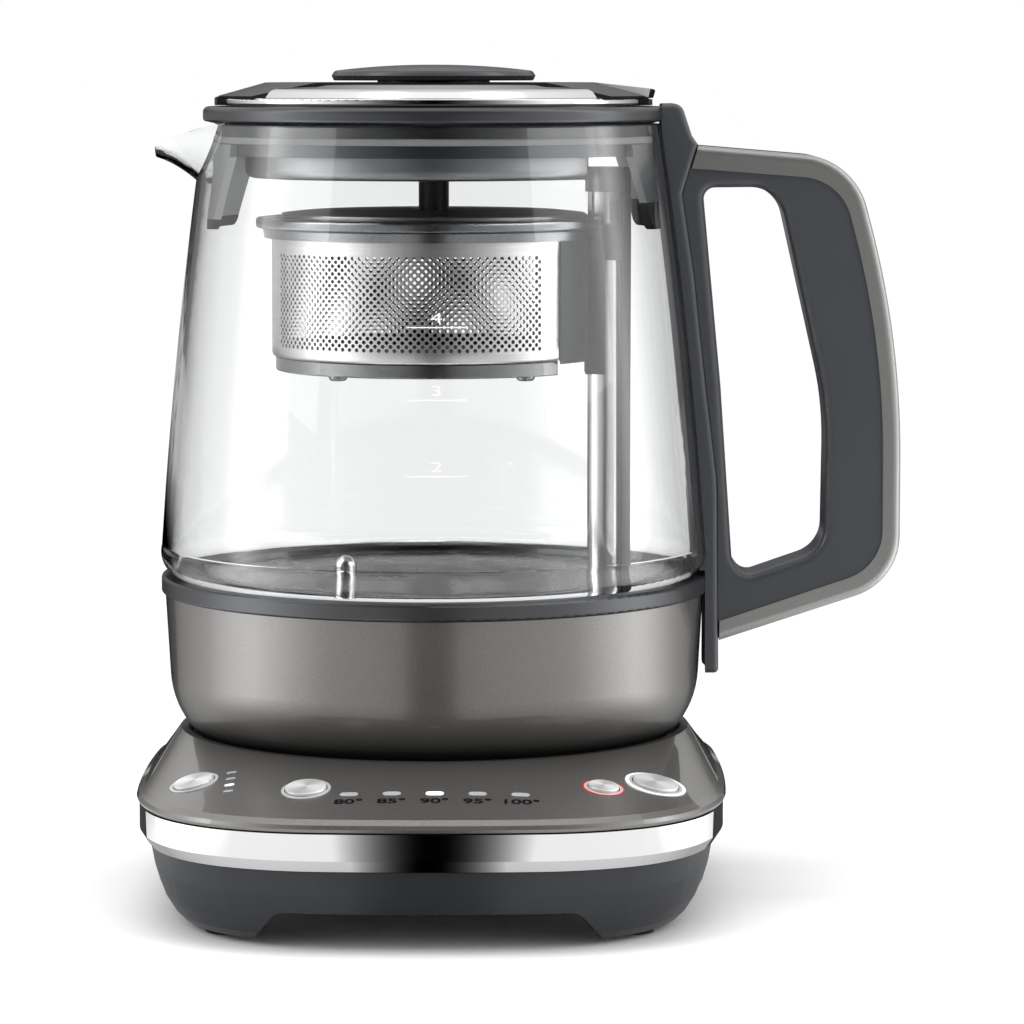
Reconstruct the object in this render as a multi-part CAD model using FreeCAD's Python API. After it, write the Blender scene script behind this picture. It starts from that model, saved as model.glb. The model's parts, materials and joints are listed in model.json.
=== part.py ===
import FreeCAD, Part
import os
from math import cos, sin, tan, pi, radians

os.makedirs("parts", exist_ok=True)

V = FreeCAD.Vector

# ---------------------------------------------------------------- dimensions
# Lengths in millimetres. +X points to the handle, -Y to the control panel, +Z up.
# The jug's axis is the Z axis and the table is at z = 0.

# base
base_half_width = 77.5
base_half_depth = 90.0
base_centre_y = -15.0
base_roundness = 3.3
outline_steps = 32
shell_bottom_z = 31.0
shell_shoulder_z = 33.6
seat_rim_z = 43.0
seat_rim_r = 68.5
seat_wall_r = 65.7
seat_wall_outer_r = 67.0
seat_floor_z = 37.0
seat_floor_thickness = 2.4
shell_wall = 2.0
band_bottom_z = 20.6
band_thickness = 0.7
tub_top_inset = 3.3
tub_side_inset = 4.5
tub_side_z = 14.0
tub_knee_inset = 6.6
tub_knee_z = 7.0
tub_foot_inset = 10.4
tub_foot_z = 1.3
tub_wall = 2.2
inlet_z = 14.9
arch_height_z = 9.5
board_top_z = 23.6
foot_pad_r = 5.8
foot_x = 51.5
front_foot_y = -71.0
rear_foot_y = 41.0

# controls: name, x, y, button radius, radius of the light ring round it (0 for none)
controls = (
    ("strength", -60.3, -66.9, 5.3, 0.0),
    ("temperature", -30.9, -82.7, 5.2, 0.0),
    ("warm", 44.2, -78.4, 3.9, 5.4),
    ("start", 57.6, -69.8, 5.9, 7.9),
)
button_travel = 0.8
button_proud = 0.9
button_gap = 0.3
lens_depth = 0.8

# jug glass
glass_top_z = 204.5
glass_top_r = 61.3
glass_belly_z = 92.0
glass_belly_r = 73.3
glass_mid_r = 68.8
glass_foot_r = 69.2
glass_foot_z = 76.5
glass_wall = 2.6
spout_root_x = -54.0
spout_tip_x = -74.0
spout_tip_z = 198.4

# jug bottom
ring_top_z = 84.7
ring_bottom_z = 79.5
ring_r = 73.4
plate_top_z = 82.0
plate_r = 66.5
housing_top_r = 72.6
housing_bottom_z = 37.1
housing_wall = 1.2
socket_r = 11.7
running_gap = 0.3

# column inside the jug
column_x = 46.0
column_r = 4.8
column_top_z = 190.0
screw_r = 1.2
screw_fit = 0.05

# top of the jug
collar_top_z = 209.2
collar_bottom_z = 205.4
collar_r = 61.5
collar_mouth_r = 54.2

# lid
lid_side_z = 211.4
lid_top_z = 215.5
lid_r = 56.7
lid_foot_z = 209.5
bridge_half_width = 33.4
bridge_base_r = 58.4
bridge_end_r = 55.4
bridge_end_half = 12.4
bridge_top_r = 44.8
knob_r = 27.2
knob_top_z = 220.2
lid_skirt_r = 50.3
lid_skirt_z = 190.2

# tea basket
drum_r = 43.6
drum_flat_x = 33.4
drum_wall = 0.8
drum_bottom_z = 142.5
rim_r = 47.6
rim_end_x = 44.8
rim_top_z = 179.7
rim_bottom_z = 174.3
foot_rim_z = 137.9
nub_r = 2.4
basket_lid_top_z = 181.4
basket_lid_r = 40.7
post_r = 4.05
lift_gap_x = 40.9
post_top_z = 189.8

# handle
spine_half_width = 11.0
grip_half_width = 10.0
trim_half_width = 10.4


# ------------------------------------------------------------------- helpers
def save(node, shape):
    """Write one node of the assembly."""
    shape.exportStep("parts/" + node + ".step")


def at_xz(u, v):
    return V(u, 0, v)


def at_xy(u, v):
    return V(u, v, 0)


def rounded_wire(corners, place):
    """Closed wire through corners of (u, v) or (u, v, radius), rounded where a radius is given."""
    full = [tuple(corner) + (0.0,) * (3 - len(corner)) for corner in corners]
    legs = []
    for index, (u, v, radius) in enumerate(full):
        here = place(u, v)
        before = place(*full[index - 1][:2]) - here
        after = place(*full[(index + 1) % len(full)][:2]) - here
        before.normalize()
        after.normalize()
        if radius == 0:
            legs.append((here, None, here))
            continue
        half = before.getAngle(after) / 2
        reach = radius / tan(half)
        middle = before + after
        middle.normalize()
        tip = here + middle * (radius / sin(half) - radius)
        legs.append((here + before * reach, tip, here + after * reach))
    edges = []
    for index, (start, tip, end) in enumerate(legs):
        previous = legs[index - 1][2]
        if previous.distanceToPoint(start) > 1e-6:
            edges.append(Part.makeLine(previous, start))
        if tip is not None:
            edges.append(Part.Arc(start, tip, end).toShape())
    return Part.Wire(edges)


def spun(corners, angle=360.0, start=0.0):
    """Solid of revolution about Z from a profile of (radius, z) corners."""
    face = Part.Face(rounded_wire(corners, at_xz))
    solid = face.revolve(V(0, 0, 0), V(0, 0, 1), angle)
    solid.rotate(V(0, 0, 0), V(0, 0, 1), start)
    return solid


def slab(corners, half_width):
    """Outline in the XZ plane given a thickness along Y, centred on Y = 0."""
    face = Part.Face(rounded_wire(corners, at_xz))
    face.translate(V(0, -half_width, 0))
    return face.extrude(V(0, 2 * half_width, 0))


def rod(x, y, z0, z1, radius):
    """Upright cylinder."""
    return Part.makeCylinder(radius, z1 - z0, V(x, y, z0))


def block(x0, x1, y0, y1, z0, z1):
    """Box between two corners."""
    return Part.makeBox(x1 - x0, y1 - y0, z1 - z0, V(x0, y0, z0))


def moved(shape, x, y, z):
    copy = shape.copy()
    copy.translate(V(x, y, z))
    return copy


def joined(shapes):
    """Fuse a list of solids into one."""
    result = shapes[0]
    for shape in shapes[1:]:
        result = result.fuse(shape)
    return result.removeSplitter()


def wire_of_arcs(points):
    """Closed wire of arcs, each through three neighbouring points."""
    edges = []
    count = len(points)
    for index in range(1, count, 2):
        arc = Part.Arc(points[index], points[(index + 1) % count], points[(index + 2) % count])
        edges.append(arc.toShape())
    return Part.Wire(edges)


def base_outline(inset, z):
    """Rounded-square plan of the base."""
    power = 2 / base_roundness
    points = []
    for step in range(outline_steps):
        angle = 2 * pi * step / outline_steps
        across = abs(cos(angle)) ** power * (1 if cos(angle) >= 0 else -1)
        along = abs(sin(angle)) ** power * (1 if sin(angle) >= 0 else -1)
        x = (base_half_width - inset) * across
        y = base_centre_y + (base_half_depth - inset) * along
        points.append(V(x, y, z))
    return wire_of_arcs(points)


def circle_wire(radius, z):
    """Circle divided at the same angles as the base outline."""
    turns = [2 * pi * step / outline_steps for step in range(outline_steps)]
    return wire_of_arcs([V(radius * cos(turn), radius * sin(turn), z) for turn in turns])


def stacked(wires):
    """Solid with straight sides through a stack of wires."""
    return Part.makeLoft(wires, True, True)


# ---------------------------------------------------------------------- base
shell_outer = stacked([
    base_outline(0.3, shell_bottom_z),
    base_outline(0.0, shell_bottom_z + 0.8),
    base_outline(0.5, shell_shoulder_z - 0.8),
    base_outline(2.2, shell_shoulder_z + 0.4),
    circle_wire(seat_rim_r, seat_rim_z),
])
shell_inner = stacked([
    base_outline(shell_wall, shell_bottom_z - 1.0),
    base_outline(shell_wall, shell_shoulder_z - 2.6),
    base_outline(shell_wall + 2.4, shell_shoulder_z - 1.7),
    circle_wire(seat_wall_outer_r + 0.3, seat_rim_z - 2.1),
])
seat_cup = rod(0, 0, seat_floor_z - seat_floor_thickness, seat_rim_z, seat_wall_outer_r)
seat_void = spun([
    (0, seat_floor_z),
    (seat_wall_r, seat_floor_z, 1.5),
    (seat_wall_r, seat_rim_z - 0.7),
    (seat_wall_r + 0.8, seat_rim_z + 0.1),
    (seat_wall_r + 0.8, seat_rim_z + 5),
    (0, seat_rim_z + 5),
])


def on_panel(x, y):
    """Point on the sloping top at (x, y) and the outward normal there."""
    heights = []
    for dx, dy in ((0, 0), (1.5, 0), (-1.5, 0), (0, 1.5), (0, -1.5)):
        line = Part.makeLine(V(x + dx, y + dy, 20), V(x + dx, y + dy, 60))
        cut = line.common(shell_outer)
        heights.append(max(vertex.Z for vertex in cut.Vertexes))
    slope_x = (heights[1] - heights[2]) / 3.0
    slope_y = (heights[3] - heights[4]) / 3.0
    normal = V(-slope_x, -slope_y, 1)
    normal.normalize()
    return V(x, y, heights[0]), normal


def disc_on(point, normal, radius, low, high):
    """Cylinder about the normal, from low to high along it, measured from the panel."""
    return Part.makeCylinder(radius, high - low, point + normal * low, normal)


def ring_on(point, normal, outer, inner, low, high):
    disc = disc_on(point, normal, outer, low, high)
    return disc.cut(disc_on(point, normal, inner, low - 1, high + 1))


def lens_on(x, y, length, width, proud):
    """Rounded light window let into the panel."""
    point, normal = on_panel(x, y)
    end = width / 2
    reach = length / 2 - end
    height = lens_depth + proud
    bar = Part.makeBox(2 * reach, width, height, V(-reach, -end, -lens_depth))
    for side in (-1, 1):
        bar = bar.fuse(Part.makeCylinder(end, height, V(side * reach, 0, -lens_depth)))
    bar = bar.removeSplitter()
    bar.Placement = FreeCAD.Placement(point, FreeCAD.Rotation(V(0, 0, 1), normal))
    return bar


shell = shell_outer.cut(shell_inner.cut(seat_cup)).cut(seat_void)
buttons = {}
bezels = []
switches = []
for name, x, y, radius, ring_radius in controls:
    point, normal = on_panel(x, y)
    cap = disc_on(point, normal, radius, -2.4, button_proud)
    top_edges = [e for e in cap.Edges if len(e.Vertexes) == 1 and
                 abs((e.CenterOfMass - point).dot(normal) - button_proud) < 0.01]
    cap = cap.makeFillet(0.35, top_edges)
    flange = disc_on(point, normal, radius + 0.9, -3.3, -2.4)
    stem = disc_on(point, normal, 1.5, -5.0, -3.3)
    buttons[name] = joined([cap, flange, stem])
    well = disc_on(point, normal, radius + 1.3, -8, -1.0)
    shell = shell.cut(disc_on(point, normal, radius + 1.1, -1.0, 3))
    shell = shell.cut(disc_on(point, normal, radius + button_gap, -8, 3))
    shell = shell.cut(well.common(disc_on(point, normal, radius + 1.3, -8, -2.0)))
    bezels.append(ring_on(point, normal, radius + 1.1, radius + button_gap, -1.0, 0.15))
    if ring_radius:
        halo = ring_on(point, normal, ring_radius, radius + 1.1, -lens_depth, 0.1)
        shell = shell.cut(ring_on(point, normal, ring_radius, radius + 1.0, -lens_depth, 3))
        save(name + "_halo", halo)
    under = point + normal * -7.5
    leg = rod(under.x, under.y, board_top_z, under.z, 1.2)
    switches.append(joined([disc_on(point, normal, 2.6, -8.2, -6.1), leg]))

strength_lenses = []
temperature_lenses = []
for index in range(4):
    place = (-50.8, -64.6 - 4.57 * index, 2.6, 1.3)
    strength_lenses.append(lens_on(*place, 0.1))
    shell = shell.cut(lens_on(*place, 2.0))
for index in range(5):
    place = (1.65 + 10.77 * (index - 2), -87.2, 4.6, 2.2)
    temperature_lenses.append(lens_on(*place, 0.1))
    shell = shell.cut(lens_on(*place, 2.0))
save("base_top_shell", shell.removeSplitter())
save("strength_lenses", Part.makeCompound(strength_lenses))
save("temperature_lenses", Part.makeCompound(temperature_lenses))
save("button_bezels", Part.makeCompound(bezels))
save("panel_switches", Part.makeCompound(switches))
for name, button in buttons.items():
    save(name + "_button", button)

# polished band across the front and the black carrier behind it
carrier_outer = stacked([
    base_outline(2.6, band_bottom_z),
    base_outline(band_thickness, band_bottom_z + 3.0),
    base_outline(band_thickness, shell_bottom_z),
])
carrier_inner = stacked([
    base_outline(5.0, band_bottom_z - 1),
    base_outline(5.0, band_bottom_z + 2.0),
    base_outline(band_thickness + 2.0, shell_bottom_z + 1),
])
carrier = carrier_outer.cut(carrier_inner)
band_outer = stacked([
    base_outline(2.6 - band_thickness, band_bottom_z + 0.3),
    base_outline(0.2, band_bottom_z + 3.2),
    base_outline(0.0, shell_bottom_z - 0.4),
])
band_front = block(-90, 90, -120, -70, 0, 60)
band = band_outer.common(band_front).cut(carrier_outer)
save("base_trim_band", band)
save("base_band_carrier", carrier)

# lower tub: bulging walls, legs at the corners and an arch on all four sides
tub_outer = stacked([
    base_outline(tub_foot_inset, tub_foot_z),
    base_outline(tub_foot_inset - 1.8, tub_foot_z + 2.0),
    base_outline(tub_knee_inset, tub_knee_z),
    base_outline(tub_side_inset, tub_side_z),
    base_outline(tub_top_inset, band_bottom_z),
])
tub_floor_z = arch_height_z + tub_wall
tub_inner = stacked([
    base_outline(tub_knee_inset + tub_wall, tub_floor_z),
    base_outline(tub_side_inset + tub_wall, tub_side_z),
    base_outline(tub_top_inset + tub_wall, band_bottom_z + 1),
])
arch_x = slab([(-45.5, -1), (-45, 0), (-38, arch_height_z, 4), (38, arch_height_z, 4), (45, 0), (45.5, -1)], 200)
arch_y = slab([(-50, -1), (-49.5, 0), (-42, arch_height_z, 4), (42, arch_height_z, 4), (49.5, 0), (50, -1)], 200)
arch_y.rotate(V(0, 0, 0), V(0, 0, 1), 90)
arch_y.translate(V(0, base_centre_y, 0))
tub = tub_outer.cut(tub_inner).cut(arch_x).cut(arch_y)
inlet = Part.makeCylinder(4.3, 12, V(0, 60, inlet_z), V(0, 1, 0))
inlet_bore = Part.makeCylinder(3.1, 40, V(0, 50, inlet_z), V(0, 1, 0))
inlet_flange = Part.makeCylinder(5.4, 1.7, V(0, 70.8, inlet_z), V(0, 1, 0))
tub = tub.cut(inlet).cut(inlet_flange)
screw_places = [(x, y) for x in (-30, 30) for y in (-60, 30)]
screws = []
for x, y in screw_places:
    head = rod(x, y, arch_height_z, arch_height_z + 1.2, 2.8)
    shank = rod(x, y, arch_height_z + 1.2, arch_height_z + 9, 1.5)
    slot = block(x - 2, x + 2, y - 0.35, y + 0.35, arch_height_z - 1, arch_height_z + 0.6)
    screw = head.fuse(shank).removeSplitter()
    tub = tub.cut(screw)
    screws.append(screw.cut(slot))
posts = [rod(x, -76, tub_floor_z - 0.5, board_top_z - 1.6, 2.8) for x in (-50, 50)]
centre_leg = rod(0, 0, tub_foot_z, arch_height_z + 1, foot_pad_r + 1.2)
save("base_lower_tub", joined([tub, centre_leg] + posts))
save("base_screws", Part.makeCompound(screws))
bush = inlet.cut(inlet_bore)
bush = bush.fuse(inlet_flange.cut(inlet_bore))
save("cord_inlet_bush", bush.removeSplitter())

pads = [rod(0, 0, 0, tub_foot_z, foot_pad_r)]
for x in (-foot_x, foot_x):
    for y in (front_foot_y, rear_foot_y):
        pads.append(rod(x, y, 0, tub_foot_z, foot_pad_r))
save("rubber_feet", Part.makeCompound(pads))

# electronics inside the base
control_board = stacked([base_outline(7.5, board_top_z - 1.6), base_outline(7.5, board_top_z)])
control_board = control_board.common(block(-90, 90, -120, -56, 20, 30))
save("control_board", control_board)
sounder = spun([(0, board_top_z), (5, board_top_z), (5, 27.6, 0.5), (1.2, 27.6), (1.2, 27.0), (0, 27.0)])
save("sounder", moved(sounder, 0, -82, 0))
power_board = block(-34, 34, 0, 44, tub_floor_z, tub_floor_z + 1.6)
for x in (-30, 30):
    power_board = power_board.cut(rod(x, 30, 0, 40, 1.7))
save("power_board", power_board)
capacitor = rod(-18, 20, tub_floor_z + 1.6, tub_floor_z + 15, 6)
relay = block(4, 26, 10, 26, tub_floor_z + 1.6, tub_floor_z + 16)
save("power_components", Part.makeCompound([capacitor, relay]))

# round connector plug on the seat
plug = joined([
    spun([(0, seat_floor_z), (20, seat_floor_z), (20, 40.6, 1.2), (0, 40.6)]),
    spun([(8, 40), (10, 40), (10, 47.2, 0.6), (8, 47.2, 0.6)]),
])
save("connector_plug", plug)
pin = spun([(0, 40.6), (3, 40.6), (3, 50.0, 1.2), (0, 50.0)])
save("connector_pin", pin)

# ----------------------------------------------------------------- jug glass
def glass_side(offset, low_z):
    """Wall curve of the glass at an offset inwards, as edges from top to foot."""
    middle_z = (glass_top_z + glass_belly_z) / 2 - 4
    top = V(glass_top_r - offset, 0, glass_top_z)
    middle = V(glass_mid_r - offset, 0, middle_z)
    belly = V(glass_belly_r - offset, 0, glass_belly_z)
    shoulder = V(glass_foot_r - offset, 0, low_z + 7.5)
    bend = V(glass_belly_r - 0.75 - offset, 0, glass_belly_z - 5.2)
    foot = V(glass_foot_r - offset, 0, low_z)
    return [
        Part.Arc(top, middle, belly).toShape(),
        Part.Arc(belly, bend, shoulder).toShape(),
        Part.makeLine(shoulder, foot),
    ]


def glass_body(offset, low_z, high_z):
    """Solid inside the glass wall curve."""
    edges = glass_side(offset, low_z)
    top = V(glass_top_r - offset, 0, glass_top_z)
    foot = V(glass_foot_r - offset, 0, low_z)
    edges.append(Part.makeLine(foot, V(0, 0, low_z)))
    edges.append(Part.makeLine(V(0, 0, low_z), V(0, 0, high_z)))
    if high_z > glass_top_z:
        edges.append(Part.makeLine(V(0, 0, high_z), V(glass_top_r - offset, 0, high_z)))
        edges.append(Part.makeLine(V(glass_top_r - offset, 0, high_z), top))
    else:
        edges.append(Part.makeLine(V(0, 0, high_z), top))
    face = Part.Face(Part.Wire(Part.__sortEdges__(edges)))
    return face.revolve(V(0, 0, 0), V(0, 0, 1), 360)


def spout_section(x, half_width, top_z, depth, rise):
    """Cross-section of the pouring lip: flat above, half-oval below."""
    left = V(x, -half_width, top_z)
    right = V(x, half_width, top_z)
    if half_width >= depth:
        oval = Part.Ellipse(V(x, half_width, top_z), V(x, 0, top_z - depth), V(x, 0, top_z))
    else:
        oval = Part.Ellipse(V(x, 0, top_z - depth), V(x, half_width, top_z), V(x, 0, top_z))
    curve = oval.toShape()
    keep = Part.makeBox(2, 4 * half_width, 2 * depth, V(x - 1, -2 * half_width, top_z - 2 * depth))
    lower = curve.common(keep)
    edges = list(lower.Edges)
    edges.append(Part.makeLine(left, left + V(0, 0, rise)))
    edges.append(Part.makeLine(left + V(0, 0, rise), right + V(0, 0, rise)))
    edges.append(Part.makeLine(right + V(0, 0, rise), right))
    return Part.Wire(Part.__sortEdges__(edges))


def spout_solid(thin, rise):
    """Beak from the wall to the tip; thin shrinks it to make the channel."""
    sections = []
    for x, half_width, top_z, depth in (
        (spout_root_x, 27.0, 205.0, 26.0),
        (-66.0, 15.0, 202.0, 10.5),
        (spout_tip_x, 6.5, spout_tip_z, 2.8),
    ):
        shrink = thin if x > spout_tip_x else thin * 0.75
        sections.append(spout_section(x - thin * 0.3, half_width - shrink, top_z, depth - shrink, rise))
    return Part.makeLoft(sections, True, False)


glass_outer = glass_body(0.0, glass_foot_z, glass_top_z)
glass_inner = glass_body(glass_wall, glass_foot_z - 0.1, glass_top_z + 1)
glass_cavity = glass_inner
beak = spout_solid(0.0, 0.1)
channel = spout_solid(2.0, 9.0)
jug_glass = glass_outer.fuse(beak).cut(glass_cavity).cut(channel)
save("glass_jug", jug_glass.removeSplitter())

# -------------------------------------------------------------- jug bottom
shoulder_ring = spun([
    (glass_foot_r + 0.1, ring_bottom_z),
    (ring_r, ring_bottom_z, 0.8),
    (ring_r, ring_top_z - 0.6, 0.8),
    (glass_foot_r + 0.1, ring_top_z - 0.4),
])
save("shoulder_ring", shoulder_ring.cut(glass_body(-0.02, glass_foot_z, glass_top_z)))
housing_outer = [
    (housing_top_r, ring_bottom_z - 0.1),
    (70.5, 44.4, 24),
    (56.5, housing_bottom_z, 3),
]
housing = spun([
    (housing_top_r - 0.2, ring_bottom_z - 0.1),
    (70.4, 44.4, 24),
    (57.5, housing_bottom_z, 2),
    (52.0, housing_bottom_z),
    (52.0, housing_bottom_z + housing_wall),
    (57.2, housing_bottom_z + housing_wall, 2),
    (69.2, 45.2, 22.5),
    (housing_top_r - 0.2 - housing_wall, ring_bottom_z - 0.1),
])
save("housing_shell", housing)
heating_plate = spun([
    (0, plate_top_z - 2.0),
    (plate_r - 1.5, plate_top_z - 2.0),
    (plate_r - 1.5, glass_foot_z),
    (plate_r, glass_foot_z),
    (plate_r, plate_top_z - 0.5),
    (plate_r - 0.5, plate_top_z),
    (0, plate_top_z),
])
sensor_x = -24.0
sensor = rod(sensor_x, 0, 70, 85.6, 3.0).fuse(Part.makeSphere(3.0, V(sensor_x, 0, 85.6))).removeSplitter()
tube_foot = rod(column_x, 0, 70, 84, column_r)
heating_plate = heating_plate.cut(rod(sensor_x, 0, 60, 90, 3.0)).cut(tube_foot)
save("heating_plate", heating_plate)
save("temperature_sensor", sensor)
element = Part.Face(Part.Wire(Part.makeCircle(3.0, V(38, 0, 76.9), V(0, 1, 0))))
element = element.revolve(V(0, 0, 0), V(0, 0, 1), 280)
element.rotate(V(0, 0, 0), V(0, 0, 1), 40)
save("heating_element", element)
save("bottom_seal", spun([
    (plate_r + 0.05, glass_foot_z - 2.6),
    (glass_foot_r + 1.6, glass_foot_z - 2.6),
    (glass_foot_r + 1.6, ring_bottom_z),
    (glass_foot_r + 0.05, ring_bottom_z),
    (glass_foot_r + 0.05, glass_foot_z - 0.05),
    (plate_r + 0.05, glass_foot_z - 0.05),
]))
save("top_seal", spun([
    (57.4, 199.4), (58.35, 199.4, 0.2), (58.5, 201.2, 0.3), (57.4, 201.2),
]))
cover = joined([
    spun([(21.5, housing_bottom_z), (51.9, housing_bottom_z), (51.9, 39.0), (21.5, 39.0)]),
    spun([(21.5, 38), (23.0, 38), (23.0, 51.6), (socket_r + running_gap, 51.6),
          (socket_r + running_gap, 50.2), (21.5, 50.2)]),
])
save("jug_bottom_cover", cover)
socket = joined([
    spun([(0, 52.5), (0, 58.0), (9.0, 58.0, 1), (9.0, 53.6), (14.0, 53.6), (14.0, 51.9),
          (socket_r, 51.9), (socket_r, 41.6, 0.5), (10.35, 41.6), (10.35, 48.2),
          (7.65, 48.2), (7.65, 41.6), (3.35, 41.6), (3.35, 52.5)]),
])
save("connector_socket", socket)

# ---------------------------------------------------- column and lift inside
column = rod(column_x, 0, 77.0, column_top_z, column_r)
column = column.cut(rod(column_x, 0, 70, column_top_z + 1, column_r - 0.7))
save("column_tube", column)
cap_wall = column_r + 0.7
column_cap = rod(column_x, 0, 186.4, 193.0, cap_wall)
column_cap = column_cap.cut(rod(column_x, 0, 180, column_top_z, column_r))
column_cap = column_cap.cut(rod(column_x, 0, 180, column_top_z + 1.5, screw_r + screw_fit))
rail = block(column_x + column_r - 0.3, column_x + column_r + 1.9, -2.6, 2.6, plate_top_z, 193.0)
rail = rail.cut(rod(column_x, 0, 60, 200, column_r)).cut(rod(column_x, 0, 186.4, 200, cap_wall))
save("column_cap", column_cap)
save("column_rail", rail)
save("lift_motor", joined([
    rod(column_x, 0, 58.0, 76.6, 8.5),
    rod(column_x, 0, 55.0, 58.0, 4.0),
]).cut(rod(column_x, 0, 70.0, 80.0, screw_r + screw_fit)))
screw = rod(column_x, 0, 70.2, column_top_z + 1.2, screw_r)
save("lift_screw", screw)
carriage = rod(column_x, 0, 160.0, 176.0, column_r - 0.7 - running_gap)
carriage = carriage.cut(rod(column_x, 0, 150, 180, screw_r + screw_fit))
save("magnet_carriage", carriage)

# ------------------------------------------------------------ top of the jug
collar = spun([
    (collar_mouth_r, collar_top_z, 0.4),
    (collar_r, collar_top_z, 1.6),
    (collar_r, collar_bottom_z, 0.8),
    (58.4, glass_top_z + 0.2),
    (57.3, glass_top_z - 0.6),
    (57.3, 196.2),
    (55.6, 196.2),
    (55.6, 203.6),
    (collar_mouth_r, 205.2),
])
save("top_collar", collar)


def tongue(profile, turn):
    """Strip of the wall curve on one side, narrowing downwards to round corners."""
    taper = slab([
        (-tongue_top_half, 206), (-tongue_top_half, 196), (-tongue_foot_half, tongue_foot_z, 4),
        (tongue_foot_half, tongue_foot_z, 4), (tongue_top_half, 196), (tongue_top_half, 206),
    ], 90)
    taper.rotate(V(0, 0, 0), V(0, 0, 1), 90)
    return spun(profile, 80, turn - 40).common(taper)


tongue_top_half = 28.4
tongue_foot_half = 21.6
tongue_foot_z = 176.9
boot_top = {0: 184.0, 180: 179.6}
boots = []
for node, turn in (("handle_tongue", 0), ("spout_tongue", 180)):
    tip = boot_top[turn]
    inner = 57.4 + 1.6 * (196.0 - tip) / 16.4
    save(node, tongue([(58.5, 199.2), (57.32, 199.2), (57.32, 196.0), (inner, tip), (inner + 1.6, tip)], turn))
    boots.append(tongue([(59.0, 176.0), (60.9, 176.0), (inner + 1.6, tip), (inner, tip)], turn))
save("tongue_boots", Part.makeCompound(boots))

# ------------------------------------------------------------------ tea basket
def left_of(shape, x):
    """Part of a shape on the spout's side of a plane across X."""
    return shape.common(block(-100, x, -100, 100, 100, 220))


# round wall with a flat side next to the column
drum_outer = left_of(spun([
    (0, drum_bottom_z), (drum_r, drum_bottom_z, 1.2), (drum_r, rim_bottom_z + 2), (0, rim_bottom_z + 2),
]), drum_flat_x)
drum_inner = left_of(spun([
    (0, drum_bottom_z + drum_wall), (drum_r - drum_wall, drum_bottom_z + drum_wall, 0.8),
    (drum_r - drum_wall, rim_bottom_z + 3), (0, rim_bottom_z + 3),
]), drum_flat_x - drum_wall)
save("basket_drum", drum_outer.cut(drum_inner))
rim = left_of(spun([
    (0, rim_bottom_z), (drum_r + 1.8, rim_bottom_z), (drum_r + 2.2, 176.6), (rim_r, 177.2, 0.6),
    (rim_r, rim_top_z, 0.8), (0, rim_top_z),
]), rim_end_x)
rim_mouth = left_of(rod(0, 0, 100, 200, drum_r - 1.4), drum_flat_x - 1.4)
drum_seat = left_of(rod(0, 0, 100, rim_bottom_z + 2.05, drum_r + 0.02), drum_flat_x + 0.02)
clip_r = column_r + 1.8
rim = rim.cut(rim_mouth).cut(drum_seat).cut(rod(column_x, 0, 100, 200, clip_r + 0.02))
save("basket_rim", rim)
foot_rim = left_of(spun([
    (0, foot_rim_z + 1.1), (drum_r - 1.2, foot_rim_z + 1.1, 0.5), (drum_r - 1.2, drum_bottom_z),
    (0, drum_bottom_z),
]), drum_flat_x - 0.6)
foot_rim = foot_rim.cut(left_of(rod(0, 0, 100, 200, drum_r - 6.0), drum_flat_x - 5.4))
nub = spun([(0, foot_rim_z), (nub_r, foot_rim_z, 1.0), (nub_r, foot_rim_z + 1.6), (0, foot_rim_z + 1.6)])
nubs = []
for angle in (-127.5, -52.5, 52.5, 127.5):
    nubs.append(moved(nub, (drum_r - 3.6) * cos(radians(angle)), (drum_r - 3.6) * sin(radians(angle)), 0))
save("basket_foot_rim", joined([foot_rim] + nubs))

# bracket: a cheek that carries the wall's curve on to the column, two legs and an open clip
cheek = left_of(rod(0, 0, 142.0, rim_bottom_z - 0.02, drum_r), lift_gap_x)
cheek = cheek.cut(block(-100, drum_flat_x + 0.02, -100, 100, 100, 220))
cheek_hollow = left_of(rod(0, 0, 140.0, 172.6, drum_r - 1.6), lift_gap_x - 1.6)
cheek = cheek.cut(cheek_hollow.cut(block(-100, drum_flat_x + 1.6, -100, 100, 100, 220)))
clip = rod(column_x, 0, 168.3, 178.0, clip_r)
leg_half = column_r + 2.2
legs = block(lift_gap_x - 0.4, 45.6, -leg_half, leg_half, foot_rim_z, rim_bottom_z - 0.02)
bracket = joined([clip, legs, cheek])
bracket = bracket.cut(rod(column_x, 0, 100, 200, column_r + running_gap))
bracket = bracket.cut(block(50.2, 60, -10, 10, 100, 200))
bracket = bracket.cut(block(lift_gap_x, 60, -column_r - 0.4, column_r + 0.4, 100, 168.3))
magnets = []
for side in (-1, 1):
    low = min(side * 5.6, side * 6.6)
    magnets.append(block(42.2, 44.8, low, low + 1.0, 150, 164))
for magnet in magnets:
    bracket = bracket.cut(magnet)
save("basket_bracket", bracket.removeSplitter())
save("basket_magnets", Part.makeCompound(magnets))
save("basket_lid", spun([
    (0, rim_top_z + 0.1), (29.5, rim_top_z + 0.1), (29.5, 177.6), (31.5, 177.6), (31.5, rim_top_z + 0.1),
    (basket_lid_r, rim_top_z + 0.1), (basket_lid_r, basket_lid_top_z - 0.6, 0.4),
    (basket_lid_r - 6, basket_lid_top_z, 8), (0, basket_lid_top_z),
]))
save("basket_post", spun([
    (0, basket_lid_top_z), (post_r, basket_lid_top_z), (post_r, post_top_z, 0.6), (0, post_top_z),
]))

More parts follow.
